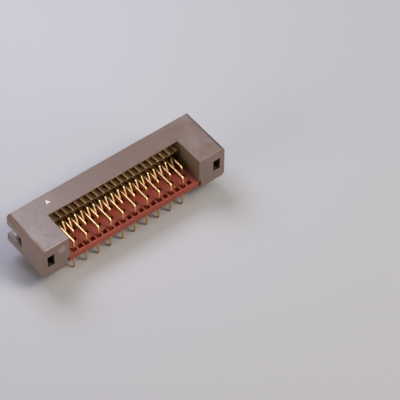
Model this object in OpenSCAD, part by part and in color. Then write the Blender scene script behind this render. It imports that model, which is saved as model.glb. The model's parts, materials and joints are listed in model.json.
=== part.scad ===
// Right-angle shrouded board header, half pitch, two contact rows.
// X runs along the contact rows, +Y points out of the mating face and +Z away from the board.
// The origin is on the board's surface, in the middle of the tail pattern.

/* [Contacts] */
// Contacts in each of the two rows
positions = 20; // [6:1:28]
// Distance between neighbouring contacts
pitch = 1.27; // [1.2:0.01:1.6]
// Distance between neighbouring tail rows
tail_row_pitch = 1.905; // [1.8:0.005:2.2]
// Width of a contact across the row
contact_w = 0.32; // [0.25:0.01:0.4]
// Thickness of a contact's strip
contact_t = 0.30; // [0.2:0.01:0.35]
// Bend radius on a contact's centreline
bend_r = 0.38; // [0.25:0.01:0.45]
// Tail length below the board's surface
tail_len = 2.9; // [2:0.1:4]
// Length of the taper at a contact's ends
point_len = 0.35; // [0.1:0.05:0.6]
// Width left at a contact's pointed ends
point_w = 0.14; // [0.08:0.01:0.2]
// Distance between the two rows on the tongue
mate_row_gap = 1.27; // [1.1:0.01:1.5]
// Height at which the lower row leaves the rear wall
lower_exit_z = 3.24; // [3.1:0.01:3.4]
// Distance of the lower row's knee behind the rear wall
lower_knee_out = 0.38; // [0.2:0.01:0.5]

/* [Housing] */
// Length of each end block
end_block_w = 5.53; // [5.3:0.01:8]
// Gap from the last contact's centre to the end block
end_gap = 1.48; // [1.2:0.01:2.5]
// Height of the housing above the board
housing_h = 6.89; // [6.7:0.01:8]
// Depth of the bar between the end blocks
bar_depth = 4.11; // [4:0.01:6]
// Distance from the rear tail row to the end blocks' rear face
rear_margin = 0.965; // [0.8:0.005:1.3]
// Distance from the front tail row to the bar's rear edge
bar_margin = 1.265; // [1.2:0.005:2]
// Radius of the end blocks' long outer edges
corner_r = 0.93; // [0.3:0.01:1.2]
// Radius of the end blocks' bottom inner edges
foot_r = 0.4; // [0.1:0.05:0.45]
// Radius of the housing's other outside edges
edge_r = 0.16; // [0.05:0.01:0.3]
// Radius of the latch arms' front corners
arm_r = 0.22; // [0.1:0.01:0.8]
// Diameter of the ejector mark on the left block's rear face
ejector_d = 1.7; // [0.5:0.1:1.9]
// Depth of the ejector mark
ejector_depth = 0.03; // [0.02:0.01:0.1]
// Distance of the ejector mark's centre from the end block's inner face
ejector_inset = 1.5; // [1.2:0.1:1.6]
// Height of the ejector mark's centre
ejector_z = 4.84; // [3:0.01:5]

/* [Latch slots] */
// Height of the slots' bottom
slot_z = 2.29; // [1.6:0.01:2.6]
// Height of the slots and windows
slot_h = 2.55; // [1.5:0.05:2.8]
// How far the slots reach in from the end faces
slot_w = 1.9; // [1.5:0.05:2.1]
// Length of the slots from the mating face
slot_len = 4.17; // [3:0.01:4.5]
// Wall between the end face and the window
window_wall = 1.04; // [0.8:0.01:1.2]
// Width of the window through to the rear face
window_w = 1.4; // [0.9:0.01:1.5]
// Distance of the catch ridge's face behind the mating face
catch_back = 2.7; // [2.2:0.05:2.9]
// Length of the catch ridge's ramp
catch_len = 1.1; // [0.6:0.05:1.5]
// Height of the catch ridge above the slot's inner wall
catch_h = 0.45; // [0.2:0.05:0.6]

/* [Mating cavity] */
// Depth of the cavity
cavity_depth = 2.75; // [2:0.05:2.9]
// Wall below the cavity
cavity_lip = 1.55; // [1:0.05:1.7]
// Wall above the cavity
cavity_roof = 0.65; // [0.5:0.05:1]
// Wall between the end face and the cavity's lower part
cavity_end = 3.65; // [3.4:0.05:4]
// Step between the cavity's lower and upper parts
key_w = 0.8; // [0.3:0.05:1]
// Height of the cavity's narrower upper part
key_h = 1.5; // [0.5:0.05:1.8]
// Length of the guide ribs at the cavity's lower corners
guide_w = 0.9; // [0.4:0.05:1.2]
// Height of the guide ribs
guide_h = 0.3; // [0.1:0.05:0.4]
// Height of the tongue's middle above the board
tongue_z = 3.32; // [3.2:0.01:3.6]
// Thickness of the tongue
tongue_t = 1.45; // [1.3:0.05:1.7]
// Distance of the tongue's front behind the mating face
tongue_back = 0.5; // [0.3:0.05:1]
// Tongue beyond the last contact's centre
tongue_end = 0.75; // [0.5:0.05:1]
// Distance of the contacts' ends behind the tongue's front
contact_back = 0.12; // [0:0.01:0.3]
// Chamfer at the tongue's front edges
tongue_chamfer = 0.2; // [0.1:0.05:0.3]

/* [Comb ledge] */
// Thickness of the lip above the ledge
lip_t = 0.28; // [0.2:0.01:0.5]
// Height of the ribs' tops at the ledge's rear edge
ledge_z = 5.5; // [5.2:0.05:5.6]
// How far the ribs' tops fall towards the front
ledge_fall = 0.25; // [0:0.05:0.4]
// Depth of the ledge in front of the bar's rear edge
ledge_depth = 1.05; // [0.6:0.05:1.1]
// How far the ledge stands out past the lip
ledge_out = 0.62; // [0:0.01:0.7]
// Thickness of the ledge at its rear edge
ledge_t = 0.4; // [0.35:0.01:0.6]
// Depth of the grooves between the ribs
groove_depth = 0.25; // [0.1:0.05:0.3]
// Width of a rib
rib_w = 0.3; // [0.2:0.01:0.5]
// Height at which the ledge's underside meets the rear wall
ledge_under_z = 4.44; // [4.3:0.01:4.45]
// Distance of the rear wall in front of the lip's edge
wall_inset = 0.2; // [0.1:0.01:0.4]

/* [Locator plate] */
// Height of the plate's underside above the board
plate_z = 0.5; // [0.2:0.05:0.6]
// Thickness of the plate
plate_t = 1.35; // [1:0.01:1.45]
// How far the plate's rear face is set in from the end blocks' rear face
plate_inset = 0.1; // [0:0.01:0.2]
// Gap between the plate and the housing
plate_gap = 0.04; // [0.02:0.01:0.1]
// Height of the plate's lower rear band
band_h = 0.55; // [0.3:0.05:0.8]
// How far the lower rear band is set in
band_inset = 0.12; // [0.05:0.01:0.2]
// Width of a pocket across the row
pocket_w = 0.92; // [0.6:0.02:0.96]
// Length of a pocket from rear to front
pocket_len = 0.92; // [0.6:0.02:1]
// Depth of the pockets
pocket_depth = 0.9; // [0.4:0.05:0.95]
// Gap between a lower contact and its pocket's front wall
pocket_gap = 0.1; // [0.05:0.01:0.2]
// Length of the end tabs into the end blocks
tab_w = 0.15; // [0.1:0.05:0.8]
// Gap between an end tab and the bottom of its notch
tab_gap = 0.3; // [0.04:0.01:0.4]
// Depth of the end tabs from the plate's rear face
tab_depth = 1.6; // [1:0.1:2.5]

/* [Fits] */
// Gap round a contact in the housing and in the plate's holes
contact_gap = 0.03; // [0.02:0.01:0.05]

/* [Hidden] */
$fn = 64;
// Overshoot of a cut past a face
cut = 0.5;
// Overlap that joins a contact's straight runs to its bends
lap = 0.005;
row_half = (positions - 1) * pitch / 2;
recess_half = row_half + end_gap;
half_len = recess_half + end_block_w;
rear_y = -tail_row_pitch - rear_margin;
lip_y = tail_row_pitch + bar_margin;
wall_y = lip_y + wall_inset;
mate_y = lip_y + bar_depth;
floor_y = mate_y - cavity_depth;
upper_z = tongue_z + mate_row_gap / 2;
lower_z = tongue_z - mate_row_gap / 2;
tip_y = mate_y - tongue_back - contact_back;
cavity_half = half_len - cavity_end;
hole_w = contact_w + 2 * contact_gap;
hole_t = contact_t + 2 * contact_gap;
plate_half = recess_half - plate_gap;
plate_rear = rear_y + plate_inset;
plate_front = wall_y - 2 * plate_gap;
plate_top = plate_z + plate_t;
ledge_rear = lip_y - ledge_out;
ledge_front = lip_y + ledge_depth;
knee_y = wall_y - lower_knee_out;
// Height at which a lower contact's slope ends, and its way out for each step up
drop_z = plate_top - pocket_depth + bend_r / 2;
lower_slope = (knee_y - tail_row_pitch) / (lower_exit_z - drop_z);

// Place of contact i along the row
function column_x(i) = (i - (positions + 1) / 2) * pitch;
// Tail row of an upper contact: odd ones at the rear, even ones in the middle
function upper_tail_y(i) = i % 2 == 1 ? -tail_row_pitch : 0;
function unit(v) = v / norm(v);
function turn_angle(a, b, c) = acos(min(1, unit(b - a) * unit(c - b)));
function setback(a, b, c, r) = r * tan(turn_angle(a, b, c) / 2);

// Centreline of an upper contact, from its front end to its tail, as (y, z) points
function upper_path(i) = [
    [tip_y, upper_z],
    [upper_tail_y(i), upper_z],
    [upper_tail_y(i), -tail_len]
];

// Centreline of a lower contact. It rises inside the wall, turns down behind it,
// slopes out into its pocket in the plate and then drops into the front tail row.
function lower_path() = [
    [tip_y, lower_z],
    [floor_y + bend_r / 4, lower_z],
    [wall_y + bend_r / 2, lower_exit_z],
    [knee_y, lower_exit_z],
    [tail_row_pitch, drop_z],
    [tail_row_pitch, -tail_len]
];

// Flat strip along a path of (y, z) points, with round bends
module strip_profile(path, bend, thickness) {
    last = len(path) - 1;
    for (i = [0:last - 1]) {
        a = path[i];
        b = path[i + 1];
        trim_a = i == 0 ? 0 : setback(path[i - 1], a, b, bend) - lap;
        trim_b = i == last - 1 ? 0 : setback(a, b, path[i + 2], bend) - lap;
        run = b - a;
        translate(a)
            rotate(atan2(run[1], run[0]))
                translate([trim_a, -thickness / 2])
                    square([norm(run) - trim_a - trim_b, thickness]);
    }
    for (i = [1:last - 1])
        strip_bend(path[i - 1], path[i], path[i + 1], bend, thickness);
}

// Round bend of a flat strip at point b, between its neighbours a and c
module strip_bend(a, b, c, bend, thickness) {
    turn = turn_angle(a, b, c);
    inward = unit(unit(a - b) + unit(c - b));
    centre = b + inward * bend / cos(turn / 2);
    reach = 2 * (bend + thickness) / cos(turn / 2);
    start = unit(b + unit(a - b) * setback(a, b, c, bend) - centre);
    end = unit(b + unit(c - b) * setback(a, b, c, bend) - centre);
    translate(centre)
        intersection() {
            difference() {
                circle(bend + thickness / 2);
                circle(bend - thickness / 2);
            }
            polygon([[0, 0], start * reach, end * reach]);
        }
}

// Front view of a contact: straight, with a tapered lower end
module contact_front_profile() {
    polygon([
        [-contact_w / 2, housing_h],
        [-contact_w / 2, point_len - tail_len],
        [-point_w / 2, -tail_len],
        [point_w / 2, -tail_len],
        [contact_w / 2, point_len - tail_len],
        [contact_w / 2, housing_h]
    ]);
}

// Side view of a contact's strip, thinned to its tail end
module contact_side_profile(path) {
    tail_y = path[len(path) - 1][0];
    difference() {
        strip_profile(path, bend_r, contact_t);
        for (side = [-1, 1])
            translate([tail_y, -tail_len])
                polygon([
                    [side * point_w / 2, 0],
                    [side * contact_t / 2, point_len],
                    [side * contact_t, point_len],
                    [side * contact_t, -cut],
                    [side * point_w / 2, -cut]
                ]);
    }
}

// Stamped and bent contact on column i
module contact(i, path) {
    color("gold")
        translate([column_x(i), 0, 0])
            intersection() {
                along_x(contact_w)
                    contact_side_profile(path);
                along_y(rear_y - cut, mate_y + cut)
                    contact_front_profile();
            }
}

// Extrudes a (y, z) outline along X, centred on X = 0
module along_x(length) {
    translate([-length / 2, 0, 0])
        rotate([90, 0, 90])
            linear_extrude(length)
                children();
}

// Extrudes an (x, z) outline along Y, from y0 to y1
module along_y(y0, y1) {
    translate([0, y1, 0])
        rotate([90, 0, 0])
            linear_extrude(y1 - y0)
                children();
}

// Box from one corner to the opposite one
module span(low, high) {
    translate(low)
        cube(high - low);
}

// Repeats a shape on both ends of the housing
module both_ends() {
    children();
    mirror([1, 0, 0])
        children();
}

// Rectangle from low to high with round corners; radii start at the low corner
// and run counter-clockwise
module round_rect(low, high, radii) {
    corners = [low, [high[0], low[1]], high, [low[0], high[1]]];
    inward = [[1, 1], [-1, 1], [-1, -1], [1, -1]];
    difference() {
        translate(low)
            square(high - low);
        for (k = [0:3])
            translate(corners[k])
                corner_cut(inward[k], radii[k]);
    }
}

// What a round corner of radius r leaves out of a square one
module corner_cut(inward, r) {
    difference() {
        translate([-inward[0] * cut, -inward[1] * cut])
            mirror([inward[0] < 0 ? 1 : 0, 0])
                mirror([0, inward[1] < 0 ? 1 : 0])
                    square(r + cut);
        translate(inward * r)
            circle(r);
        translate([inward[0] * r, inward[1] * r])
            mirror([inward[0] < 0 ? 1 : 0, 0])
                mirror([0, inward[1] < 0 ? 1 : 0])
                    square(r);
    }
}

// End block on the +X end: the same block seen along each of the three axes
module end_block() {
    intersection() {
        along_y(rear_y, mate_y)
            round_rect([recess_half, 0], [half_len, housing_h], [foot_r, corner_r, corner_r, edge_r]);
        linear_extrude(housing_h)
            round_rect([recess_half, rear_y], [half_len, mate_y], [edge_r, edge_r, arm_r, edge_r]);
        translate([half_len, 0, 0])
            along_x(2 * half_len)
                round_rect([rear_y, 0], [mate_y, housing_h], [edge_r, edge_r, edge_r, edge_r]);
    }
}

// Section of the bar between the end blocks, as (y, z) points: the rear wall,
// the recess under the thin lip, the ledge that stands out over the contacts and
// its sloping underside
module bar_section() {
    difference() {
        polygon([
            [wall_y, 0],
            [mate_y, 0],
            [mate_y, housing_h],
            [lip_y, housing_h],
            [lip_y, housing_h - lip_t],
            [ledge_front, housing_h - lip_t - lip_t / 2],
            [ledge_front, ledge_z - ledge_fall],
            [ledge_rear, ledge_z],
            [ledge_rear, ledge_z - ledge_t],
            [wall_y, ledge_under_z]
        ]);
        translate([lip_y, housing_h])
            corner_cut([1, -1], edge_r);
        translate([mate_y, housing_h])
            corner_cut([-1, -1], edge_r);
        translate([mate_y, 0])
            corner_cut([-1, 1], edge_r);
    }
}

module bar() {
    along_x(2 * recess_half + 2 * edge_r)
        bar_section();
}

// Grooves of the comb ledge, one over each contact column, open at the rear
module ledge_grooves() {
    for (i = [1:positions])
        translate([column_x(i), 0, 0])
            along_x(pitch - rib_w)
                polygon([
                    [ledge_rear - cut, ledge_z - groove_depth],
                    [ledge_rear, ledge_z - groove_depth],
                    [ledge_front, ledge_z - ledge_fall - groove_depth],
                    [ledge_front, ledge_z],
                    [ledge_rear - cut, ledge_z + groove_depth]
                ]);
}

// Mating cavity, with narrower ends in its upper part
module mating_cavity() {
    roof = housing_h - cavity_roof;
    span([-cavity_half, floor_y, cavity_lip], [cavity_half, mate_y + cut, roof - key_h]);
    span([key_w - cavity_half, floor_y, cavity_lip], [cavity_half - key_w, mate_y + cut, roof]);
}

// Guide ribs on the cavity's floor at its two lower corners
module guide_ribs() {
    both_ends()
        span(
            [cavity_half - guide_w, floor_y - edge_r, cavity_lip - edge_r],
            [cavity_half, mate_y - tongue_back, cavity_lip + guide_h]
        );
}

// Tongue that carries the contacts, chamfered at its front edges
module tongue() {
    tongue_half = row_half + tongue_end;
    front = mate_y - tongue_back;
    along_x(2 * tongue_half)
        translate([0, tongue_z])
            polygon([
                [floor_y - edge_r, -tongue_t / 2],
                [front - tongue_chamfer, -tongue_t / 2],
                [front, tongue_chamfer - tongue_t / 2],
                [front, tongue_t / 2 - tongue_chamfer],
                [front - tongue_chamfer, tongue_t / 2],
                [floor_y - edge_r, tongue_t / 2]
            ]);
}

// Channels on one column: through the wall, and along the tongue's two faces
module contact_channels() {
    back = wall_y - cut;
    front = tip_y + contact_gap;
    span([-hole_w / 2, back, upper_z - hole_t / 2], [hole_w / 2, front, upper_z + hole_t / 2]);
    span([-hole_w / 2, floor_y, upper_z], [hole_w / 2, front, tongue_z + tongue_t]);
    span(
        [-hole_w / 2, back, lower_z - hole_t / 2],
        [hole_w / 2, floor_y + bend_r, lower_exit_z + hole_t / 2]
    );
    span([-hole_w / 2, floor_y, tongue_z - tongue_t], [hole_w / 2, front, lower_z + hole_t / 2]);
}

// Latch slot on the +X end, with the window behind it
module latch_slot() {
    slot_x = half_len - slot_w;
    slot_end = mate_y - slot_len;
    window_x = half_len - window_wall - window_w;
    catch_y = mate_y - catch_back;
    difference() {
        union() {
            span([slot_x, slot_end, slot_z], [half_len + cut, mate_y + cut, slot_z + slot_h]);
            span([window_x, rear_y - cut, slot_z], [window_x + window_w, catch_y, slot_z + slot_h]);
        }
        linear_extrude(housing_h)
            polygon([
                [slot_x - cut, catch_y],
                [slot_x + catch_h, catch_y],
                [slot_x, catch_y + catch_len],
                [slot_x - cut, catch_y + catch_len]
            ]);
    }
}

// Shallow round mark that an ejector pin left on the -X block's rear face
module ejector_mark() {
    translate([-recess_half - ejector_inset, rear_y + ejector_depth, ejector_z])
        rotate([90, 0, 0])
            cylinder(h = cut, d = ejector_d);
}

// Notch in the +X end block that takes the plate's end tab
module tab_notch() {
    span(
        [recess_half - cut, rear_y - cut, -cut],
        [recess_half + tab_w + tab_gap, plate_rear + tab_depth + plate_gap, plate_top + plate_gap]
    );
}

module housing() {
    color("rosybrown")
        difference() {
            union() {
                difference() {
                    union() {
                        both_ends()
                            end_block();
                        bar();
                    }
                    mating_cavity();
                    ledge_grooves();
                    ejector_mark();
                    both_ends() {
                        latch_slot();
                        tab_notch();
                    }
                }
                guide_ribs();
                tongue();
            }
            for (i = [1:positions])
                translate([column_x(i), 0, 0])
                    contact_channels();
        }
}

// Side view of the locator plate: its rear face has a set-in lower band
module plate_section() {
    polygon([
        [plate_rear + band_inset, plate_z],
        [plate_front, plate_z],
        [plate_front, plate_top],
        [plate_rear, plate_top],
        [plate_rear, plate_z + band_h],
        [plate_rear + band_inset, plate_z + band_h - band_inset]
    ]);
}

// Pocket in the plate's top, from y0 to y1
module pocket(y0, y1) {
    span(
        [-pocket_w / 2, y0, plate_top - pocket_depth],
        [pocket_w / 2, y1, plate_top + cut]
    );
}

// Through hole that guides a tail
module tail_hole(y) {
    span([-hole_w / 2, y - hole_t / 2, -cut], [hole_w / 2, y + hole_t / 2, plate_top + cut]);
}

module locator() {
    slope_face = contact_t / 2 * norm([1, lower_slope]);
    front_pocket = tail_row_pitch + lower_slope * (plate_top - drop_z) + slope_face + pocket_gap;
    color("sienna")
        difference() {
            union() {
                along_x(2 * plate_half)
                    plate_section();
                intersection() {
                    along_x(2 * (recess_half + tab_w))
                        plate_section();
                    span(
                        [-half_len, plate_rear, plate_z],
                        [half_len, plate_rear + tab_depth, plate_top]
                    );
                }
            }
            for (i = [1:positions])
                translate([column_x(i), 0, 0]) {
                    pocket(-tail_row_pitch - pocket_len / 2, -tail_row_pitch + pocket_len / 2);
                    pocket(tail_row_pitch - pocket_len / 2, front_pocket);
                    tail_hole(upper_tail_y(i));
                    tail_hole(tail_row_pitch);
                    if (upper_tail_y(i) == 0)
                        pocket(-pocket_len / 2, pocket_len / 2);
                }
        }
}

housing();
locator();
for (i = [1:positions]) {
    contact(i, upper_path(i));
    contact(i, lower_path());
}
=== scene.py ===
"""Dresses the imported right-angle board header and sets up its studio.

The frame holds the solids: the housing, the locator plate and forty bent contacts. This script
gives the mouldings their softened edges and their grain, sweeps the contacts as plated strips,
prints the pin-1 mark and stands the part on a plain pale floor under soft light.
"""

import json
import logging
import math
from dataclasses import dataclass
from enum import Enum
from typing import Any, Sequence

import bmesh
import bpy
from mathutils import Matrix, Vector
from mathutils.geometry import intersect_point_tri_2d

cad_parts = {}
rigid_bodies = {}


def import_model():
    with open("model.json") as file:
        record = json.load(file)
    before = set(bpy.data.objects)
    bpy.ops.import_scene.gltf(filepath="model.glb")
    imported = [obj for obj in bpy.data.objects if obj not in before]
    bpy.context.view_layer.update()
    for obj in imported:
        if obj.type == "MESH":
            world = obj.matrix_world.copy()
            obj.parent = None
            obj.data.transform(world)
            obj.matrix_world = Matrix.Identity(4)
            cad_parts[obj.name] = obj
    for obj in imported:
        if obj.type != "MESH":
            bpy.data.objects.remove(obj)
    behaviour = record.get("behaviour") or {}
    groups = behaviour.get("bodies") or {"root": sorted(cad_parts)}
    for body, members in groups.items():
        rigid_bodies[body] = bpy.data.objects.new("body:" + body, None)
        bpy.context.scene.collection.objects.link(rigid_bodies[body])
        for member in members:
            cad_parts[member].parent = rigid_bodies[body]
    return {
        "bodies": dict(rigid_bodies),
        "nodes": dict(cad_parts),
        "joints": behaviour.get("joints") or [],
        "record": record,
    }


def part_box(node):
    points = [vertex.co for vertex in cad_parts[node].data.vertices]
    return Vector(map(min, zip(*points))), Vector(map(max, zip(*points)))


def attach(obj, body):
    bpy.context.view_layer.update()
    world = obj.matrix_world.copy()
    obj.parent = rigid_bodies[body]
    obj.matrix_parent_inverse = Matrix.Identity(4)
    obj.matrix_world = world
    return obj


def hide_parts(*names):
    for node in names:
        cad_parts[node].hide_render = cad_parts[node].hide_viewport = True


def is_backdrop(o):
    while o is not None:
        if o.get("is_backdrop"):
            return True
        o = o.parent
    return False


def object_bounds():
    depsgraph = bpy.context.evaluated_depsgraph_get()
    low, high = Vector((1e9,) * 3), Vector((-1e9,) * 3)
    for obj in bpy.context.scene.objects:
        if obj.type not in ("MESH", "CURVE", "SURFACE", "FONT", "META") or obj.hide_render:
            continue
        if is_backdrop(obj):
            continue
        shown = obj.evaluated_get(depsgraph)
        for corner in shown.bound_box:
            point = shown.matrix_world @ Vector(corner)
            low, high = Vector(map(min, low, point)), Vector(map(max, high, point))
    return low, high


log = logging.getLogger("header")

MM = 0.001
ROOT_BODY = "root"
PHOTO_PX = 400

# Blender's names of the nodes that are used most.
MATH = "ShaderNodeMath"
VECTOR_MATH = "ShaderNodeVectorMath"
MAP_RANGE = "ShaderNodeMapRange"
NOISE = "ShaderNodeTexNoise"
SPLIT = "ShaderNodeSeparateXYZ"
JOIN = "ShaderNodeCombineXYZ"
COORDINATES = "ShaderNodeTexCoord"
PRINCIPLED = "ShaderNodeBsdfPrincipled"
MATERIAL_OUTPUT = "ShaderNodeOutputMaterial"

# Sockets of a Mix node that mixes colours.
SHARE = 0
UNDER = 6
OVER = 7
MIXED = 2

Tree = bpy.types.NodeTree
Node = bpy.types.Node
Socket = bpy.types.NodeSocket
Material = bpy.types.Material
Span = tuple[float, float]
Place = tuple[float, float, float]
Rgba = tuple[float, float, float, float]


def linear_rgba(hex_colour: str) -> Rgba:
    """Turns an sRGB hex colour into linear values for a shader.

    Args:
        hex_colour: Six hex digits, as in "b5a49a".

    Returns:
        Linear red, green and blue, and full opacity.
    """
    parts = (int(hex_colour[k : k + 2], 16) / 255 for k in (0, 2, 4))
    red, green, blue = (
        value / 12.92 if value <= 0.04045 else ((value + 0.055) / 1.055) ** 2.4 for value in parts
    )
    return (red, green, blue, 1.0)


def add_node(tree: Tree, kind: str, links: dict[Any, Any] | None = None, **settings: Any) -> Node:
    """Adds a node, sets its properties and fills its inputs.

    Args:
        tree: Shader or geometry node tree to add to.
        kind: The node's type name.
        links: Input name or number to what fills it: a socket, a node, which gives its first
            output, or a plain value.
        **settings: Properties of the node itself.

    Returns:
        The new node.
    """
    node = tree.nodes.new(kind)
    for name, value in settings.items():
        setattr(node, name, value)
    for key, value in (links or {}).items():
        source = value.outputs[0] if isinstance(value, Node) else value
        if isinstance(source, Socket):
            tree.links.new(source, node.inputs[key])
        else:
            node.inputs[key].default_value = source
    return node


def new_material(name: str) -> tuple[Material, Tree, Socket]:
    """Starts an empty node material.

    Args:
        name: Material name.

    Returns:
        The material, its tree and its Object coordinates.
    """
    material = bpy.data.materials.new(name)
    material.use_nodes = True
    tree = material.node_tree
    tree.nodes.clear()
    return material, tree, add_node(tree, COORDINATES).outputs["Object"]


def close_material(
    tree: Tree,
    colour: Socket,
    relief: Node,
    roughness: Span,
    bump: Span,
    inputs: dict[str, float],
) -> None:
    """Ends a material whose roughness and bump follow one fine relief.

    Args:
        tree: The material's tree.
        colour: Colour of the surface.
        relief: Noise that draws the relief.
        roughness: Roughness of its hollows and of its peaks.
        bump: Strength of the bump, and its height in millimetres.
        inputs: The shader's other inputs.
    """
    low, high = roughness
    span = {"From Min": 0.3, "From Max": 0.7, "To Min": low, "To Max": high}
    rough = add_node(tree, MAP_RANGE, {"Value": relief, **span})
    strength, height_mm = bump
    raised = {"Height": relief, "Strength": strength, "Distance": height_mm * MM}
    normal = add_node(tree, "ShaderNodeBump", raised)
    links = {"Base Color": colour, "Roughness": rough, "Normal": normal, **inputs}
    add_node(tree, MATERIAL_OUTPUT, {"Surface": add_node(tree, PRINCIPLED, links)})


class TailRow(Enum):
    """Tail rows of the header, named from the side where the tails show."""

    REAR = "rear"
    MIDDLE = "middle"
    FRONT = "front"


class TopEdge(Enum):
    """Rounded top edges of the end blocks.

    Each holds its block's sign on X, the axis that it faces beside Z and its sign there.
    """

    LEFT_REAR = (-1, "Y", -1)
    RIGHT_REAR = (1, "Y", -1)
    RIGHT_OUTER = (1, "X", 1)


@dataclass(frozen=True)
class Tone:
    """Another tone that lies over a surface, all over it or on one part.

    Attributes:
        tint: Colour of the tone, sRGB hex.
        strength: Share of the tint where the tone is full.
    """

    tint: str
    strength: float

    def share(self, tree: Tree, place: Socket) -> Socket:
        """Gives the tone's share at a place, which each kind of tone works out its own way."""
        raise NotImplementedError

    def colour(self, tree: Tree, place: Socket) -> Socket | Rgba:
        """Gives the tone's colour at a place."""
        return linear_rgba(self.tint)

    def mix(self, tree: Tree, place: Socket, under: Socket | Rgba) -> Socket:
        """Mixes the tone into a colour.

        Args:
            tree: The material's tree.
            place: Object coordinates.
            under: Colour of the surface without the tone.

        Returns:
            The colour with the tone in it.
        """
        links = {SHARE: self.share(tree, place), UNDER: under, OVER: self.colour(tree, place)}
        return add_node(tree, "ShaderNodeMix", links, data_type="RGBA").outputs[MIXED]


@dataclass(frozen=True)
class PatchTone(Tone):
    """Soft patches of another tone.

    Attributes:
        size_mm: Size of the patches.
        detail: Octaves of finer patches in them.
        uneven: Weight of each octave beside the one before it.
        span: Noise values between which a patch fades in.
        swirl: How far the patches are drawn out of shape.
    """

    size_mm: float
    detail: float
    uneven: float
    span: Span
    swirl: float = 0.0

    def share(self, tree: Tree, place: Socket) -> Socket:
        """Draws the patches.

        Args:
            tree: The material's tree.
            place: Object coordinates.

        Returns:
            The tone's share.
        """
        pattern = {"Scale": 1 / (self.size_mm * MM), "Detail": self.detail, "Roughness": self.uneven}
        noise = add_node(tree, NOISE, {"Vector": place, "Distortion": self.swirl, **pattern})
        low, high = self.span
        fade = {"Value": noise, "From Min": low, "From Max": high, "To Max": self.strength}
        return add_node(tree, MAP_RANGE, fade).outputs[0]


@dataclass(frozen=True)
class PaintedTopSheen(PatchTone):
    """Painted sheen: pale streaky patches on the upward faces of the end blocks, stronger towards the
    ends.

    Attributes:
        reach_mm: Distances from the row's middle where it starts and where it is thickest.
        upward: Upward parts of a surface's direction where it starts and where it is full.
    """

    reach_mm: Span = (8.0, 19.0)
    upward: Span = (0.6, 0.95)

    def share(self, tree: Tree, place: Socket) -> Socket:
        """Keeps the patches to the tops near the ends.

        Args:
            tree: The material's tree.
            place: Object coordinates.

        Returns:
            The haze's share.
        """
        share = super().share(tree, place)
        way = add_node(tree, COORDINATES).outputs["Normal"]
        facing = add_node(tree, SPLIT, {0: way}).outputs["Z"]
        along = add_node(tree, SPLIT, {0: place}).outputs["X"]
        away = add_node(tree, MATH, {0: along}, operation="ABSOLUTE")
        for value, (start, full), unit in ((facing, self.upward, 1.0), (away, self.reach_mm, MM)):
            fade = {"Value": value, "From Min": start * unit, "From Max": full * unit}
            part = add_node(tree, MAP_RANGE, fade)
            share = add_node(tree, MATH, {0: share, 1: part}, operation="MULTIPLY").outputs[0]
        return share


@dataclass(frozen=True)
class EjectorSpot(Tone):
    """Pale round spot where an ejector pin bruised the rear face.

    Attributes:
        centre_mm: Middle of the spot on the face, as (x, y, z).
        radius_mm: Radius of the spot.
        reach_mm: Depth of the bruise behind the face.
        rim: Shares of the radius where the spot starts to fade and where it ends.
    """

    centre_mm: Place
    radius_mm: float
    reach_mm: float = 0.15
    rim: Span = (0.7, 1.1)

    def share(self, tree: Tree, place: Socket) -> Socket:
        """Fades the spot towards its rim and its depth.

        Args:
            tree: The material's tree.
            place: Object coordinates.

        Returns:
            The spot's share.
        """
        x, face, z = self.centre_mm
        parts = add_node(tree, SPLIT, {0: place}).outputs
        flat = add_node(tree, JOIN, {0: parts["X"], 2: parts["Z"]})
        ends = {0: flat, 1: (x * MM, 0.0, z * MM)}
        away = add_node(tree, VECTOR_MATH, ends, operation="DISTANCE").outputs["Value"]
        full_share, no_share = self.rim
        share = self.strength
        for value, full, none in (
            (parts["Y"], face + self.reach_mm / 2, face + self.reach_mm),
            (away, full_share * self.radius_mm, no_share * self.radius_mm),
        ):
            fade = {"Value": value, "From Min": none * MM, "From Max": full * MM}
            part = add_node(tree, MAP_RANGE, fade)
            share = add_node(tree, MATH, {0: share, 1: part}, operation="MULTIPLY").outputs[0]
        return share


@dataclass(frozen=True)
class PaintedEdgeLine(Tone):
    """Painted highlight or painted shade along one rounded top edge of an end block.

    Attributes:
        edge: Which edge.
        from_mm: The line lies beyond this distance on the edge's axis, the way the edge faces.
        inner_x_mm: Distance of the block's inner face from the middle of the row.
        low_z_mm: The line lies above this height.
        turns: It starts and is full at these products of the surface's directions along the
            axis and Z, which is 0.5 where it faces both alike.
    """

    edge: TopEdge
    from_mm: float
    inner_x_mm: float
    low_z_mm: float = 6.3
    turns: Span = (0.12, 0.4)

    def share(self, tree: Tree, place: Socket) -> Socket:
        """Finds the rounded edge by the way that it faces and by its place.

        Args:
            tree: The material's tree.
            place: Object coordinates.

        Returns:
            The line's share.
        """
        block, axis, facing = self.edge.value
        ways = add_node(tree, SPLIT, {0: add_node(tree, COORDINATES).outputs["Normal"]}).outputs
        turn = add_node(tree, MATH, {0: ways[axis], 1: ways["Z"]}, operation="MULTIPLY")
        start, full = (value * facing for value in self.turns)
        fade = {"Value": turn, "From Min": start, "From Max": full, "To Max": self.strength}
        share = add_node(tree, MAP_RANGE, fade).outputs[0]
        parts = add_node(tree, SPLIT, {0: place}).outputs
        for name, way, limit_mm in (
            ("X", block, self.inner_x_mm),
            ("Z", 1, self.low_z_mm),
            (axis, facing, self.from_mm),
        ):
            out = add_node(tree, MATH, {0: parts[name], 1: way}, operation="MULTIPLY")
            beyond = add_node(tree, MATH, {0: out, 1: limit_mm * MM}, operation="GREATER_THAN")
            share = add_node(tree, MATH, {0: share, 1: beyond}, operation="MULTIPLY").outputs[0]
        return share


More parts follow.
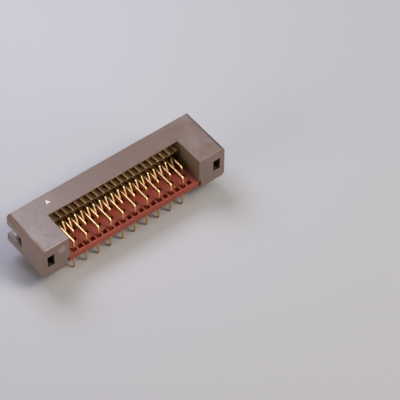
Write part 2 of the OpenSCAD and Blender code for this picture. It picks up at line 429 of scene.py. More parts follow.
@dataclass(frozen=True)
class PaintedBoxShading(Tone):
    """Painted light or painted shade on the surfaces inside a box, the same at both ends of the header.

    Attributes:
        middle_mm: Middle of the box on the +X side.
        half_mm: Half the box's sides.
        fade_mm: The tone rises over this distance from the box's sides.
    """

    middle_mm: Place
    half_mm: Place
    fade_mm: float = 0.05

    def share(self, tree: Tree, place: Socket) -> Socket:
        """Measures how far a place is inside the box, which stands on both sides.

        Args:
            tree: The material's tree.
            place: Object coordinates.

        Returns:
            The tone's share.
        """
        middle = [value * MM for value in self.middle_mm]
        half = [value * MM for value in self.half_mm]
        parts = add_node(tree, SPLIT, {0: place}).outputs
        outward = add_node(tree, MATH, {0: parts["X"]}, operation="ABSOLUTE")
        folded = add_node(tree, JOIN, {0: outward, 1: parts["Y"], 2: parts["Z"]})
        away = add_node(tree, VECTOR_MATH, {0: folded, 1: middle}, operation="SUBTRACT")
        reach = add_node(tree, VECTOR_MATH, {0: away}, operation="ABSOLUTE")
        over = add_node(tree, VECTOR_MATH, {0: reach, 1: half}, operation="SUBTRACT")
        sides = add_node(tree, SPLIT, {0: over}).outputs
        flat = add_node(tree, MATH, {0: sides["X"], 1: sides["Y"]}, operation="MAXIMUM")
        most = add_node(tree, MATH, {0: flat, 1: sides["Z"]}, operation="MAXIMUM")
        fade = {"Value": most, "From Min": 0.0, "From Max": -self.fade_mm * MM, "To Max": self.strength}
        return add_node(tree, MAP_RANGE, fade).outputs[0]


@dataclass(frozen=True)
class CombPaintedShading(PaintedBoxShading):
    """Painted light and shade on the comb: pale lit rib tops, browner shaded groove floors and a dark
    painted shade on the wall below them.

    The tint is the groove floors' painted shade, warmed by light thrown back from the gold.

    Attributes:
        wall: Colour of the painted shade on the wall under the comb, sRGB hex.
        ribs: Colour of the painted light on the ribs' tops, sRGB hex.
        fall: How much the ribs' tops fall per length towards the mating face.
        span_mm: Heights above the falling plane that the stops run between.
        stops: Places between them of the wall's colour, the floors', these again and the ribs'.
    """

    wall: str = "3c2814"
    ribs: str = "b8966e"
    fall: float = 0.15
    span_mm: Span = (4.9, 5.9)
    stops: tuple[float, float, float, float] = (0.1, 0.35, 0.8, 0.93)

    def colour(self, tree: Tree, place: Socket) -> Socket:
        """Paints the comb's light and shade by height.

        Args:
            tree: The material's tree.
            place: Object coordinates.

        Returns:
            The comb's colour.
        """
        parts = add_node(tree, SPLIT, {0: place}).outputs
        tilt = {0: parts["Y"], 1: self.fall, 2: parts["Z"]}
        height = add_node(tree, MATH, tilt, operation="MULTIPLY_ADD")
        low, high = (value * MM for value in self.span_mm)
        rise = add_node(tree, MAP_RANGE, {"Value": height, "From Min": low, "From Max": high})
        ramp = add_node(tree, "ShaderNodeValToRGB", {0: rise})
        elements = ramp.color_ramp.elements
        tints = (self.wall, self.tint, self.tint, self.ribs)
        for number, (stop, tint) in enumerate(zip(self.stops, tints)):
            if number >= len(elements):
                elements.new(stop)
            elements[number].position = stop
            elements[number].color = linear_rgba(tint)
        return ramp.outputs[0]


@dataclass(frozen=True)
class MouldedPlastic:
    """Glass-filled moulding compound, satin from a spark-eroded tool.

    The eroded tool gives a fine even grain, the glass fibres give faint pale and dark flecks,
    and the melt's flow gives slow clouds of tone.

    Attributes:
        name: Material name.
        base: Main colour, sRGB hex.
        cloud: Colour of the slow clouds, sRGB hex.
        fleck: Colour of the fibre flecks, sRGB hex.
        roughness: Roughness of the grain's hollows and of its peaks.
        skin: Share of the smooth resin skin that lies over the fibres.
        skin_roughness: Roughness of that skin.
        grain_mm: Distance between the grain's peaks. The real grain is about 0.03 mm, which is
            too fine to show, so it is drawn coarser.
        grain_bump: Strength of the grain's bump, and its height in millimetres.
        fleck_mm: Size of the flecks, drawn coarser for the same reason.
        cloud_mm: Size of the clouds.
        tones: Further tones, in the order in which they lie on each other.
    """

    name: str
    base: str
    cloud: str
    fleck: str
    roughness: Span = (0.31, 0.47)
    skin: float = 0.25
    skin_roughness: float = 0.16
    grain_mm: float = 0.09
    grain_bump: Span = (0.25, 0.01)
    fleck_mm: float = 0.198
    cloud_mm: float = 6.0
    tones: tuple[Tone, ...] = ()

    def build(self) -> Material:
        """Builds the material.

        Returns:
            A new procedural material on Object coordinates.
        """
        material, tree, place = new_material(self.name)
        clouds = PatchTone(self.cloud, 0.75, self.cloud_mm, detail=3.0, uneven=0.55, span=(0.35, 0.68))
        flecks = PatchTone(self.fleck, 0.45, self.fleck_mm, detail=2.0, uneven=0.7, span=(0.58, 0.75))
        colour = linear_rgba(self.base)
        for tone in (clouds, flecks, *self.tones):
            colour = tone.mix(tree, place, colour)
        pattern = {"Scale": 1 / (self.grain_mm * MM), "Detail": 3.0, "Roughness": 0.6}
        grain = add_node(tree, NOISE, {"Vector": place, **pattern})
        resin = {"IOR": 1.52, "Coat Weight": self.skin, "Coat Roughness": self.skin_roughness}
        close_material(tree, colour, grain, self.roughness, self.grain_bump, resin)
        return material


@dataclass(frozen=True)
class PlatedGold:
    """Gold flash over nickel on a stamped copper alloy strip.

    The rolled strip leaves faint lines along each contact, and the thin plating varies from
    pale gold to a warmer copper tone.

    Attributes:
        name: Material name.
        bright: Colour where the plating is thickest, sRGB hex.
        warm: Colour where the alloy tints it, sRGB hex.
        roughness: Roughness of the rolling lines' hollows and of their peaks.
        line_mm: Spacing and length of the rolling lines. The real ones are closer together, too
            fine to show, so they are drawn coarser.
        line_bump: Strength of the lines' bump, and its height in millimetres.
        patch_mm: Size of the patches of thin plating.
    """

    name: str
    bright: str
    warm: str
    roughness: Span = (0.25, 0.37)
    line_mm: Span = (0.06, 1.5)
    line_bump: Span = (0.2, 0.004)
    patch_mm: float = 1.1

    def build(self) -> Material:
        """Builds the material.

        Returns:
            A new procedural metal on Object coordinates.
        """
        material, tree, place = new_material(self.name)
        thin = PatchTone(self.warm, 1.0, self.patch_mm, detail=2.0, uneven=0.5, span=(0.0, 1.0))
        colour = thin.mix(tree, place, linear_rgba(self.bright))
        # The lines run along the strip, so they are close together across the row only.
        across, along = (1 / (size_mm * MM) for size_mm in self.line_mm)
        stretch = {"Vector": place, "Scale": (across, along, along)}
        stretched = add_node(tree, "ShaderNodeMapping", stretch)
        lines = add_node(tree, NOISE, {"Vector": stretched, "Scale": 1.0, "Detail": 2.0})
        close_material(tree, colour, lines, self.roughness, self.line_bump, {"Metallic": 1.0})
        return material


@dataclass(frozen=True)
class PadPrint:
    """White pad-printing ink, thin and slightly uneven, so the moulding shows through a little.

    Attributes:
        name: Material name.
        ink: Colour of the ink, sRGB hex.
        thin: Colour where the film is thin, sRGB hex.
        patch_mm: Size of the thin places.
    """

    name: str
    ink: str
    thin: str
    patch_mm: float = 0.25

    def build(self) -> Material:
        """Builds the material.

        Returns:
            A new procedural material on Object coordinates.
        """
        material, tree, place = new_material(self.name)
        film = PatchTone(self.thin, 0.6, self.patch_mm, detail=3.0, uneven=0.5, span=(0.45, 0.75))
        colour = film.mix(tree, place, linear_rgba(self.ink))
        shader = add_node(tree, PRINCIPLED, {"Base Color": colour, "Roughness": 0.45, "IOR": 1.5})
        add_node(tree, MATERIAL_OUTPUT, {"Surface": shader})
        return material


def new_object(name: str, data: bpy.types.ID) -> bpy.types.Object:
    """Links a mesh, a lamp or a camera into the scene as an object.

    Args:
        name: Name of the object.
        data: Its data.

    Returns:
        The object, at the origin.
    """
    thing = bpy.data.objects.new(name, data)
    bpy.context.scene.collection.objects.link(thing)
    return thing


def bake_modifiers(thing: bpy.types.Object) -> None:
    """Turns an object's modifiers into plain mesh and removes them.

    Args:
        thing: The object.
    """
    bpy.context.view_layer.update()
    graph = bpy.context.evaluated_depsgraph_get()
    mesh = bpy.data.meshes.new_from_object(thing.evaluated_get(graph), depsgraph=graph)
    mesh.name = thing.name
    thing.modifiers.clear()
    thing.data = mesh


def shade_smooth(mesh: bpy.types.Mesh, sharp_deg: float) -> None:
    """Shades a mesh smooth, with breaks where it turns by more than an angle."""
    mesh.polygons.foreach_set("use_smooth", [True] * len(mesh.polygons))
    mesh.set_sharp_from_angle(angle=math.radians(sharp_deg))


def face_outward(mesh: bpy.types.Mesh) -> None:
    """Turns a closed mesh's faces outward.

    Args:
        mesh: The mesh.
    """
    work = bmesh.new()
    work.from_mesh(mesh)
    bmesh.ops.recalc_face_normals(work, faces=work.faces)
    work.to_mesh(mesh)
    work.free()


def finish_piece(piece: bpy.types.Object, replaced: Sequence[str]) -> None:
    """Puts a finished piece on the body and in place of its solids.

    Args:
        piece: The piece, at the origin.
        replaced: Names of the solids that the piece stands for.
    """
    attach(piece, ROOT_BODY)
    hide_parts(*replaced)
    log.info("%s: %d faces, stands for %d solids", piece.name, len(piece.data.polygons), len(replaced))


@dataclass(frozen=True)
class TriangleMark:
    """Printed triangle beside the first contact, pointing at the mating face.

    Attributes:
        finish: The ink.
        centre_x_mm: Place along the row.
        base_y_mm: Place of its base.
        width_mm: Length of its base.
        height_mm: Distance from its base to its tip.
        upward: A face of the top faces up at least this much.
        slack_mm: It lies this close to the top's plane.
        cut_slack_mm: Tolerance of the cuts.
        room_widths: Only faces this many widths around the triangle get its own cuts.
    """

    finish: PadPrint
    centre_x_mm: float = -11.93
    base_y_mm: float = 5.20
    width_mm: float = 0.92
    height_mm: float = 0.86
    upward: float = 0.999
    slack_mm: float = 0.001
    cut_slack_mm: float = 1e-5
    room_widths: float = 1.01

    def print_on(self, mesh: bpy.types.Mesh, top_z: float) -> None:
        """Cuts the triangle's outline into the top face and inks what it encloses.

        Args:
            mesh: The moulding's mesh. The ink becomes its second material.
            top_z: Height of the top face, in metres.
        """
        mesh.materials.append(self.finish.build())
        half = self.width_mm / 2
        outline = [
            Vector((self.centre_x_mm + right, self.base_y_mm + up, 0)) * MM
            for right, up in ((-half, 0), (half, 0), (0, self.height_mm))
        ]
        middle = sum(outline, Vector()) / len(outline)
        middle.z = top_z
        reach = self.width_mm * MM
        # Four cuts just outside the triangle keep its own three cuts short.
        across, near = (
            [(middle - way * reach, way), (middle + way * reach, way)]
            for way in (Vector((1, 0, 0)), Vector((0, 1, 0)))
        )
        for start, end in zip(outline, outline[1:] + outline[:1]):
            near.append((start, Vector((end.y - start.y, start.x - end.x, 0))))
        work = bmesh.new()
        work.from_mesh(mesh)
        for planes, room in ((across, math.inf), (near, self.room_widths * reach)):
            for plane in planes:
                self._cut(work, plane, middle, room)
        flat = [corner.xy for corner in outline]
        for face in work.faces:
            centre = face.calc_center_median()
            if self._is_top(face, top_z) and intersect_point_tri_2d(centre.xy, *flat):
                face.material_index = 1
        work.to_mesh(mesh)
        work.free()

    def _cut(self, work: bmesh.types.BMesh, plane: Sequence[Vector], middle: Vector, room: float) -> None:
        """Cuts faces of the top.

        Args:
            work: The moulding's mesh.
            plane: A point of the cut and the direction across it.
            middle: Middle of the triangle, at the top's height.
            room: Only faces whose middles are this close along the row are cut, in metres.
        """
        parts: set[Any] = set()
        for face in work.faces:
            away = abs(face.calc_center_median().x - middle.x)
            if self._is_top(face, middle.z) and away < room:
                parts.update((face, *face.edges, *face.verts))
        cut = {"dist": self.cut_slack_mm * MM, "plane_co": plane[0], "plane_no": plane[1]}
        bmesh.ops.bisect_plane(work, geom=list(parts), **cut)

    def _is_top(self, face: bmesh.types.BMFace, top_z: float) -> bool:
        """Tells whether a face belongs to the top."""
        away = abs(face.calc_center_median().z - top_z)
        return face.normal.z > self.upward and away < self.slack_mm * MM


@dataclass(frozen=True)
class CombGrooves:
    """Grooves of the comb ledge, whose floors fall steeply under the lip.

    Attributes:
        rear_mm: Place of a groove floor's rear edge in the solid, as (y, z).
        front_mm: Place of its front edge.
        rear_drop_mm: How much lower the rear edge lies than in the solid.
        front_drop_mm: How much lower the front edge lies.
        near_mm: A corner this close to an edge's place is one of its ends.
    """

    rear_mm: Span = (2.55, 5.25)
    front_mm: Span = (4.22, 5.0)
    rear_drop_mm: float = 0.05
    front_drop_mm: float = 0.25
    near_mm: float = 0.01

    def deepen(self, work: bmesh.types.BMesh) -> None:
        """Lowers the corners of the groove floors.

        Args:
            work: The housing's mesh, in metres.
        """
        for corner in work.verts:
            for (y, z), drop in ((self.rear_mm, self.rear_drop_mm), (self.front_mm, self.front_drop_mm)):
                if math.hypot(corner.co.y - y * MM, corner.co.z - z * MM) < self.near_mm * MM:
                    corner.co.z -= drop * MM
                    break


@dataclass
class Moulding:
    """A moulded piece: its solid with softened edges and the finish of its compound.

    Attributes:
        node: Name of the solid.
        slot: The record's material slot; not used.
        finish: Finish of the compound.
        mark: Printed mark on its top, where it has one.
        comb: Grooves of its comb ledge, where it has one.
        edge_mm: Radius that the tool leaves on every edge.
        edge_steps: Faces across that radius.
        room_radii: A face has room for the radius where it reaches this many radii.
        sharp_deg: Edges that turn by more than this are softened.
        merge_mm: Corners of the solid's triangles closer than this are one.
        flat_deg: Triangles that turn by less than this are one face.
    """

    node: str
    slot: str
    finish: MouldedPlastic
    mark: TriangleMark | None = None
    comb: CombGrooves | None = None
    edge_mm: float = 0.05
    edge_steps: int = 2
    room_radii: float = 2.2
    sharp_deg: float = 35.0
    merge_mm: float = 0.0005
    flat_deg: float = 0.3

    def build(self, solid: bpy.types.Object) -> None:
        """Makes the piece that stands for the solid.

        Args:
            solid: The solid's object in the frame.
        """
        work = bmesh.new()
        work.from_mesh(solid.data)
        bmesh.ops.remove_doubles(work, verts=work.verts, dist=self.merge_mm * MM)
        flat = math.radians(self.flat_deg)
        bmesh.ops.dissolve_limit(work, angle_limit=flat, verts=work.verts, edges=work.edges)
        if self.comb:
            self.comb.deepen(work)
        self._mark_edges(work)
        mesh = bpy.data.meshes.new(f"{self.node}_moulding")
        work.to_mesh(mesh)
        work.free()
        mesh.materials.clear()
        mesh.materials.append(self.finish.build())
        piece = new_object(mesh.name, mesh)
        bevel = piece.modifiers.new("soft_edges", "BEVEL")
        bevel.width = self.edge_mm * MM
        bevel.segments = self.edge_steps
        bevel.limit_method = "WEIGHT"
        bevel.use_clamp_overlap = False
        bake_modifiers(piece)
        if self.mark:
            self.mark.print_on(piece.data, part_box(self.node)[1].z)
        shade_smooth(piece.data, self.sharp_deg)
        # The large faces keep their own light where they meet a softened edge.
        shading = piece.modifiers.new("true_shading", "WEIGHTED_NORMAL")
        shading.keep_sharp = True
        bake_modifiers(piece)
        finish_piece(piece, [self.node])

    def _mark_edges(self, work: bmesh.types.BMesh) -> None:
        """Gives a weight to each sharp edge between two faces that have room for its radius.

        Args:
            work: The solid's mesh.
        """
        weight = work.edges.layers.float.new("bevel_weight_edge")
        room = self.room_radii * self.edge_mm * MM
        for edge in work.edges:
            if not edge.is_manifold or edge.calc_length() < room:
                continue
            if edge.calc_face_angle() < math.radians(self.sharp_deg):
                continue
            if all(self._reach(face, edge) > room for face in edge.link_faces):
                edge[weight] = 1.0

    @staticmethod
    def _reach(face: bmesh.types.BMFace, edge: bmesh.types.BMEdge) -> float:
        """Measures how far a face reaches away from one of its edges.

        Args:
            face: The face.
            edge: The edge.

        Returns:
            The distance, in metres.
        """
        start = edge.verts[0].co
        along = (edge.verts[1].co - start).normalized()
        return max((corner.co - start).cross(along).length for corner in face.verts)


class StripSweep:
    """Geometry Nodes tree that sweeps a bent strip along a path and repeats it along a row."""

    SECTION = ("Bend Radius", "Strip Width", "Strip Thickness", "Edge Radius")
    ENDS = ("Point Length", "Point Share", "Tip Length", "Tip Share")
    INPUTS = {
        "NodeSocketGeometry": ("Path",),
        "NodeSocketFloat": SECTION + ENDS,
        "NodeSocketInt": ("Count",),
        "NodeSocketVector": ("First Place", "Step"),
        "NodeSocketMaterial": ("Finish",),
    }
    BEND_STEPS = 7
    EDGE_STEPS = 3
    WELD_MM = 0.002

    def __init__(self) -> None:
        """Builds the tree."""
        self.tree = bpy.data.node_groups.new("strip_sweep", "GeometryNodeTree")
        face = self.tree.interface
        for kind, names in self.INPUTS.items():
            for name in names:
                face.new_socket(name=name, in_out="INPUT", socket_type=kind)
        face.new_socket(name="Strips", in_out="OUTPUT", socket_type="NodeSocketGeometry")
        self.given = given = add_node(self.tree, "NodeGroupInput").outputs
        curves = {"Curve": self._path(), "Profile Curve": self._profile()}
        sweep = {**curves, "Scale": self._taper(), "Fill Caps": True}
        strip = add_node(self.tree, "GeometryNodeCurveToMesh", sweep)
        weld = {"Geometry": strip, "Distance": self.WELD_MM * MM}
        welded = add_node(self.tree, "GeometryNodeMergeByDistance", weld)
        row = {"Count": given["Count"], "Start Location": given["First Place"], "Offset": given["Step"]}
        places = add_node(self.tree, "GeometryNodeMeshLine", row)
        repeat = {"Points": places, "Instance": welded}
        copies = add_node(self.tree, "GeometryNodeInstanceOnPoints", repeat)
        plain = add_node(self.tree, "GeometryNodeRealizeInstances", {"Geometry": copies})
        finish = {"Geometry": plain, "Material": given["Finish"]}
        add_node(self.tree, "NodeGroupOutput", {0: add_node(self.tree, "GeometryNodeSetMaterial", finish)})

    def _path(self) -> Node:
        """Rounds the path's corners.

        Returns:
            The node that gives the centreline.
        """
        curve = add_node(self.tree, "GeometryNodeMeshToCurve", {"Mesh": self.given["Path"]})
        bends = {"Curve": curve, "Count": self.BEND_STEPS, "Radius": self.given["Bend Radius"]}
        return add_node(self.tree, "GeometryNodeFilletCurve", bends, mode="POLY")

    def _profile(self) -> Node:
        """Draws the strip's section, a rectangle with rolled edges.

        Returns:
            The node that gives the section.
        """
        sides = {"Width": self.given["Strip Width"], "Height": self.given["Strip Thickness"]}
        outline = add_node(self.tree, "GeometryNodeCurvePrimitiveQuadrilateral", sides)
        rolled = {"Curve": outline, "Count": self.EDGE_STEPS, "Radius": self.given["Edge Radius"]}
        return add_node(self.tree, "GeometryNodeFilletCurve", rolled, mode="POLY")

    def _taper(self) -> Node:
        """Thins the strip to its point at the tail's end and to its coined tip in front.

        Returns:
            The node that gives the section's scale.
        """
        along = add_node(self.tree, "GeometryNodeSplineParameter").outputs["Length"]
        whole = add_node(self.tree, "GeometryNodeSplineLength").outputs["Length"]
        left = add_node(self.tree, MATH, {0: whole, 1: along}, operation="SUBTRACT")
        ends = ((left, "Point Length", "Point Share"), (along, "Tip Length", "Tip Share"))
        point, tip = (
            {"Value": way, "From Max": self.given[length], "To Min": self.given[share]}
            for way, length, share in ends
        )
        ramps = {0: add_node(self.tree, MAP_RANGE, point), 1: add_node(self.tree, MAP_RANGE, tip)}
        return add_node(self.tree, MATH, ramps, operation="MULTIPLY")

    def apply_to(self, thing: bpy.types.Object, values: dict[str, Any]) -> None:
        """Runs the tree on an object and keeps the result as plain mesh.

        Args:
            thing: Object whose mesh is the path.
            values: Value of every other input.
        """
        sweep = thing.modifiers.new("sweep", "NODES")
        sweep.node_group = self.tree
        for item in self.tree.interface.items_tree:
            if item.in_out == "INPUT" and item.name in values:
                sweep[item.identifier] = values[item.name]
        bake_modifiers(thing)


@dataclass
class ContactRow:
    """Contacts whose tails stand in one row: bent strips, tapered at the tail's end.

    Attributes:
        row: Tail row.
        nodes: Solids that the row stands for, from left to right.
        finish: The plating's material.
        sweep: The tree that makes the strips.
        strip_mm: Width and thickness of the strip.
        bend_mm: Bend radius on the centreline.
        edge_mm: Radius of the strip's rolled edges.
        point_mm: Length of the taper at the tail's end.
        point_share: Share of the section left at the tail's end.
        tip_mm: Length of the coined tip on the tongue.
        tip_share: Share of the section left at the tip's end.
        row_gap_mm: Distance between the two rows on the tongue.
        rise_mm: Where the lower row starts to rise and where it reaches its height, as y.
        knee_y_mm: Where the lower row turns down.
        drop_z_mm: Height at which the lower row's slope meets the tail.
        sharp_deg: Edges that turn by more than this stay sharp.
    """

    row: TailRow
    nodes: list[str]
    finish: Material
    sweep: StripSweep
    strip_mm: Span = (0.32, 0.30)
    bend_mm: float = 0.38
    edge_mm: float = 0.05
    point_mm: float = 0.35
    point_share: float = 0.45
    tip_mm: float = 0.18
    tip_share: float = 0.7
    row_gap_mm: float = 1.27
    rise_mm: Span = (4.625, 3.56)
    knee_y_mm: float = 2.99
    drop_z_mm: float = 1.14
    sharp_deg: float = 40.0

    def path(self) -> list[Span]:
        """Works out the centreline from the solids' boxes.

        Returns:
            Points as (y, z) in metres, from the tip to the tail's end.
        """
        low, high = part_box(self.nodes[0])
        half = self.strip_mm[1] / 2 * MM
        upper_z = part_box("contact_a1")[1].z - half
        tip_y = high.y - self.tip_mm * MM
        tail_y = low.y + half
        tail = [(tail_y, low.z + self.point_mm * MM), (tail_y, low.z)]
        if self.row is not TailRow.FRONT:
            return [(high.y, upper_z), (tip_y, upper_z), (tail_y, upper_z)] + tail
        lower_z = upper_z - self.row_gap_mm * MM
        exit_z = high.z - half
        return [
            (high.y, lower_z),
            (tip_y, lower_z),
            (self.rise_mm[0] * MM, lower_z),
            (self.rise_mm[1] * MM, exit_z),
            (self.knee_y_mm * MM, exit_z),
            (tail_y, self.drop_z_mm * MM),
        ] + tail

    def build(self) -> None:
        """Makes the row."""
        points = [(0.0, y, z) for y, z in self.path()]
        mesh = bpy.data.meshes.new(f"{self.row.value}_contacts")
        mesh.from_pydata(points, [(k, k + 1) for k in range(len(points) - 1)], [])
        piece = new_object(mesh.name, mesh)
        first, last = (sum(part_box(name), Vector()).x / 2 for name in (self.nodes[0], self.nodes[-1]))
        values = {
            "Bend Radius": self.bend_mm * MM,
            "Strip Width": self.strip_mm[0] * MM,
            "Strip Thickness": self.strip_mm[1] * MM,
            "Edge Radius": self.edge_mm * MM,
            "Point Length": self.point_mm * MM,
            "Point Share": self.point_share,
            "Tip Length": self.tip_mm * MM,
            "Tip Share": self.tip_share,
            "Count": len(self.nodes),
            "First Place": (first, 0.0, 0.0),
            "Step": ((last - first) / (len(self.nodes) - 1), 0.0, 0.0),
            "Finish": self.finish,
        }
        self.sweep.apply_to(piece, values)
        face_outward(piece.data)
        shade_smooth(piece.data, self.sharp_deg)
        finish_piece(piece, self.nodes)


@dataclass(frozen=True)
class Softbox:
    """Square soft lamp that looks at the part.

    Attributes:
        name: Name of the lamp.
        direction: Direction from the part to the lamp.
        distance_m: Distance from the part.
        size_m: Side of the lamp.
        radiance: Brightness of its face, where 1 is a white surface in plain light.
        tint: Colour of its light, sRGB hex.
    """

    name: str
    direction: Place
    distance_m: float
    size_m: float
    radiance: float
    tint: str

    def build(self) -> None:
        """Hangs the lamp."""
        data = bpy.data.lights.new(self.name, "AREA")
        data.shape = "SQUARE"
        data.size = self.size_m
        data.energy = self.radiance * math.pi * self.size_m**2
        data.color = linear_rgba(self.tint)[:3]
        lamp = new_object(self.name, data)
        lamp.location = Vector(self.direction).normalized() * self.distance_m
        lamp.rotation_euler = (-lamp.location).to_track_quat("-Z", "Y").to_euler()


@dataclass
class Studio:
    """Plain pale floor, soft lamps and an even world.

    Attributes:
        floor_z: Height of the floor, just at the tails' ends, in metres.
        floor_hex: Colour of the floor, sRGB hex.
        floor_roughness: Roughness of the floor.
        floor_half_m: Half the floor's side.
        world_hex: Colour of the world, sRGB hex.
        zenith_strength: Brightness of the world overhead.
        horizon_strength: Brightness of the world at the floor's height.
        lamps: The soft lamps.
    """

    floor_z: float
    floor_hex: str = "cbcace"
    floor_roughness: float = 0.9
    floor_half_m: float = 1.5
    world_hex: str = "f0eff2"
    zenith_strength: float = 0.05
    horizon_strength: float = 0.03
    lamps: tuple[Softbox, ...] = (
        Softbox("sheen", (0.0, 0.57, 0.82), 0.16, 0.1, 4.5, "e4e8fc"),
        Softbox("sky_left", (0.1, 0.45, 0.85), 0.5, 0.3, 0.6, "dce6ff"),
        Softbox("overhead", (0.395, -0.1, 0.913), 0.5, 0.2, 2.2, "fffaec"),
        Softbox("spark", (0.395, -0.5, 0.77), 0.5, 0.18, 10.8, "fffaec"),
        Softbox("rear_card", (0.45, -0.88, 0.15), 0.5, 0.3, 2.7, "fff6f8"),
        Softbox("left_card", (-0.98, 0.0, 0.18), 0.5, 0.3, 4.3, "fff2e8"),
    )

    def build(self) -> None:
        """Builds the floor, the world and the lamps."""
        self._floor()
        self._world()
        for lamp in self.lamps:
            lamp.build()

    def _floor(self) -> None:
        """Lays the floor."""
        half = self.floor_half_m
        mesh = bpy.data.meshes.new("floor")
        sides = ((-half, -half), (half, -half), (half, half), (-half, half))
        mesh.from_pydata([(x, y, self.floor_z) for x, y in sides], [], [(0, 1, 2, 3)])
        material = bpy.data.materials.new("pale_floor")
        material.use_nodes = True
        inputs = material.node_tree.nodes["Principled BSDF"].inputs
        inputs["Base Color"].default_value = linear_rgba(self.floor_hex)
        inputs["Roughness"].default_value = self.floor_roughness
        mesh.materials.append(material)
        new_object("floor", mesh)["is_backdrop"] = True

    def _world(self) -> None:
        """Sets a pale world that dims towards the horizon."""
        world = bpy.data.worlds.new("studio")
        bpy.context.scene.world = world
        world.use_nodes = True
        tree = world.node_tree
        towards = add_node(tree, COORDINATES).outputs["Generated"]
        rise = add_node(tree, SPLIT, {0: towards}).outputs["Z"]
        dim = {"Value": rise, "To Min": self.horizon_strength, "To Max": self.zenith_strength}
        strength = add_node(tree, MAP_RANGE, dim)
        background = tree.nodes["Background"]
        background.inputs["Color"].default_value = linear_rgba(self.world_hex)
        tree.links.new(strength.outputs[0], background.inputs["Strength"])


@dataclass
class PhotoCamera:
    """Camera at the photograph's viewing angle, fitted to the header's corners.

    Attributes:
        azimuth_deg: Direction of view, 0 along +Y.
        elevation_deg: Height of the camera above the board's plane.
        roll_deg: Turn of the picture about the line of sight.
        distance_mm: Distance from the plane of the aim point.
        focal_px: Focal length in pixels of the 400-pixel frame.
        aim_mm: Point of the part that the offsets are counted from.
        right_mm: How far the line of sight passes to the right of that point.
        up_mm: How far it passes above it.
        sensor_mm: Width of the sensor.
        clip_m: Nearest and farthest distance that shows.
    """

    azimuth_deg: float = -39.124
    elevation_deg: float = 49.606
    roll_deg: float = 1.382
    distance_mm: float = 440.3
    focal_px: float = 2606.7
    aim_mm: Place = (0.0, 1.475, 0.0)
    right_mm: float = 13.541
    up_mm: float = 1.711
    sensor_mm: float = 36.0
    clip_m: Span = (0.01, 10.0)

    def build(self) -> None:
        """Makes the camera the scene's own."""
        azimuth, elevation = math.radians(self.azimuth_deg), math.radians(self.elevation_deg)
        flat = Vector((math.sin(azimuth), -math.cos(azimuth), 0)) * math.cos(elevation)
        back = flat + Vector((0, 0, math.sin(elevation)))
        level = Vector((0, 0, 1)).cross(back).normalized()
        turn = Matrix.Rotation(math.radians(self.roll_deg), 3, back)
        right = turn @ level
        up = turn @ back.cross(level)
        place = Vector(self.aim_mm) + self.right_mm * right + self.up_mm * up + self.distance_mm * back
        data = bpy.data.cameras.new("photo_camera")
        data.sensor_width = self.sensor_mm
        data.lens = self.focal_px / PHOTO_PX * self.sensor_mm
        data.clip_start, data.clip_end = self.clip_m
        camera = new_object("photo_camera", data)
        axes = Matrix((right, up, back)).transposed().to_4x4()
        camera.matrix_world = Matrix.Translation(place * MM) @ axes
        bpy.context.scene.camera = camera


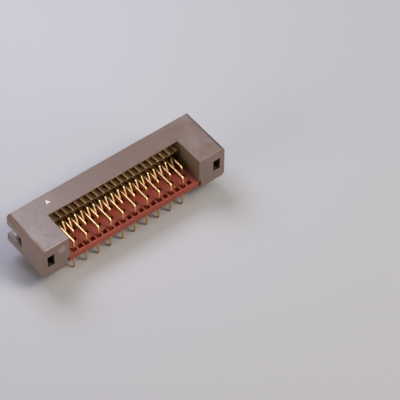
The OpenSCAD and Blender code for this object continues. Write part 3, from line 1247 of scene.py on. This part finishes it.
@dataclass
class Header:
    """The whole header: the housing, the locator plate and the three rows of contacts.

    Attributes:
        recess_half_mm: Half the length of the recess between the end blocks.
        ejector_inset_mm: Distance of the ejector spot from the left end block's inner face.
        ejector_z_mm: Height of the ejector spot.
        ejector_r_mm: Radius of the ejector spot.
        rear_line_mm: Width of the painted highlight lines along the rear top edges.
        outer_line_mm: Width of the painted shade line along the outer top edge.
    """

    frame: dict[str, Any]
    recess_half_mm: float = 13.545
    ejector_inset_mm: float = 1.5
    ejector_z_mm: float = 4.84
    ejector_r_mm: float = 0.85
    rear_line_mm: float = 0.2
    outer_line_mm: float = 0.7

    def build(self) -> None:
        """Builds every piece."""
        self._housing()
        self._locator()
        self._contacts()

    def _solids(self, start: str, parity: int | None = None) -> list[str]:
        """Lists contact solids from left to right.

        Args:
            start: What their names start with.
            parity: 1 for the odd positions, 0 for the even ones, None for all.

        Returns:
            Their names.
        """
        names = [name for name in self.frame["nodes"] if name.startswith(start)]
        numbered = sorted((int(name.removeprefix(start)), name) for name in names)
        return [name for number, name in numbered if parity is None or number % 2 == parity]

    def _tones(self) -> tuple[Tone, ...]:
        """Gathers the housing's painted sheen, its ejector spot, the painted shade and light in its
        hollows, and the painted highlights and shade along its top edges.

        Returns:
            The tones, in the order in which they lie on each other.
        """
        low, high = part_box("housing")
        face_mm = low.y / MM
        inner_mm = self.recess_half_mm
        # Pale streaky patches on the tops towards the ends are painted sheen.
        painted_sheen = PaintedTopSheen(
            "c4bcc0", 0.34, size_mm=3.2, detail=5.0, uneven=0.62, span=(0.32, 0.72), swirl=0.6
        )
        centre_mm = (-inner_mm - self.ejector_inset_mm, face_mm, self.ejector_z_mm)
        spot = EjectorSpot("a8989a", 0.55, centre_mm, self.ejector_r_mm)
        rear_mm = -face_mm - self.rear_line_mm
        outer_mm = high.x / MM - self.outer_line_mm
        # Painted highlights along the rear top edges of both end blocks.
        painted_rim_left = PaintedEdgeLine("dcb9aa", 0.9, TopEdge.LEFT_REAR, rear_mm, inner_mm)
        painted_rim_right = PaintedEdgeLine("c09a74", 0.4, TopEdge.RIGHT_REAR, rear_mm, inner_mm)
        # Painted shade along the right block's outer rounded top edge.
        painted_shade_outer = PaintedEdgeLine("30241c", 0.9, TopEdge.RIGHT_OUTER, outer_mm, inner_mm)
        return (painted_sheen, spot, *self._painted_hollows(), painted_rim_left, painted_rim_right, painted_shade_outer)

    @staticmethod
    def _painted_hollows() -> tuple[Tone, ...]:
        """Gathers the painted shade and light in the housing's hollows, each by the middle and half of its
        box.

        Returns:
            The tones, in the order in which they lie on each other.
        """
        # Painted light and shade on the comb: lit rib tops, shaded groove floors and a shaded wall below.
        comb = CombPaintedShading("7c5a3a", 1.0, (0.0, 3.4, 3.8), (13.56, 0.9, 1.85))
        # Painted shade, tinted olive like light thrown back by the gold, on the end blocks' inner walls.
        recess_wall_shade = PaintedBoxShading("696035", 0.6, (13.3, 0.0, 3.4), (0.27, 2.95, 3.44))
        # Painted shade at the comb's ends, in the corners of the recess.
        comb_end_shade = PaintedBoxShading("4a3620", 0.55, (13.0, 3.4, 4.9), (0.56, 0.9, 0.75))
        # Painted shade inside the latch windows.
        window_shade = PaintedBoxShading("463c26", 0.9, (17.335, 0.0, 3.565), (0.77, 2.8, 1.34))
        # Painted light on the latch slot's floor.
        slot_floor_light = PaintedBoxShading("b4aaa0", 0.6, (18.1, 5.2, 2.26), (0.95, 2.0, 0.08))
        # Painted shade, darker deeper in the latch slot.
        slot_depth_shade = PaintedBoxShading("543a22", 0.8, (17.45, 4.2, 3.55), (1.35, 1.9, 1.85), fade_mm=0.35)
        # Painted shade in the notches where the plate's tabs sit.
        notch_shade = PaintedBoxShading("3c1c12", 0.8, (13.78, -1.95, 0.93), (0.28, 0.87, 1.0))
        return (comb, recess_wall_shade, comb_end_shade, window_shade, slot_floor_light, slot_depth_shade, notch_shade)

    def _housing(self) -> None:
        """Makes the housing in taupe compound."""
        colours = {"base": "826a5d", "cloud": "7a6253", "fleck": "968475"}
        taupe = MouldedPlastic("taupe_moulding", **colours, tones=self._tones())
        mark = TriangleMark(PadPrint("pad_print", ink="e6e0e6", thin="c5bac0"))
        housing = Moulding("housing", "housing_plastic", taupe, mark, CombGrooves())
        housing.build(self.frame["nodes"]["housing"])

    def _locator(self) -> None:
        """Makes the locator plate in red-brown compound."""
        colours = {"base": "a04022", "cloud": "90361e", "fleck": "b4644a"}
        rust = MouldedPlastic("red_brown_moulding", **colours, roughness=(0.43, 0.59), skin=0.0)
        Moulding("locator", "locator_plastic", rust).build(self.frame["nodes"]["locator"])

    def _contacts(self) -> None:
        """Makes the contacts, row by row."""
        gold = PlatedGold("gold_plating", bright="f5d69c", warm="deb26c").build()
        sweep = StripSweep()
        rows = {
            TailRow.REAR: self._solids("contact_a", 1),
            TailRow.MIDDLE: self._solids("contact_a", 0),
            TailRow.FRONT: self._solids("contact_b"),
        }
        for row, nodes in rows.items():
            ContactRow(row, nodes, gold, sweep).build()


def main() -> None:
    """Builds the header's looks around the frame."""
    logging.basicConfig(level=logging.INFO, format="%(name)s: %(message)s")
    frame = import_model()
    cad_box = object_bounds()
    PhotoCamera().build()
    Header(frame).build()
    Studio(cad_box[0].z).build()
    bpy.context.scene.view_settings.view_transform = "Standard"


if __name__ == "__main__":
    main()
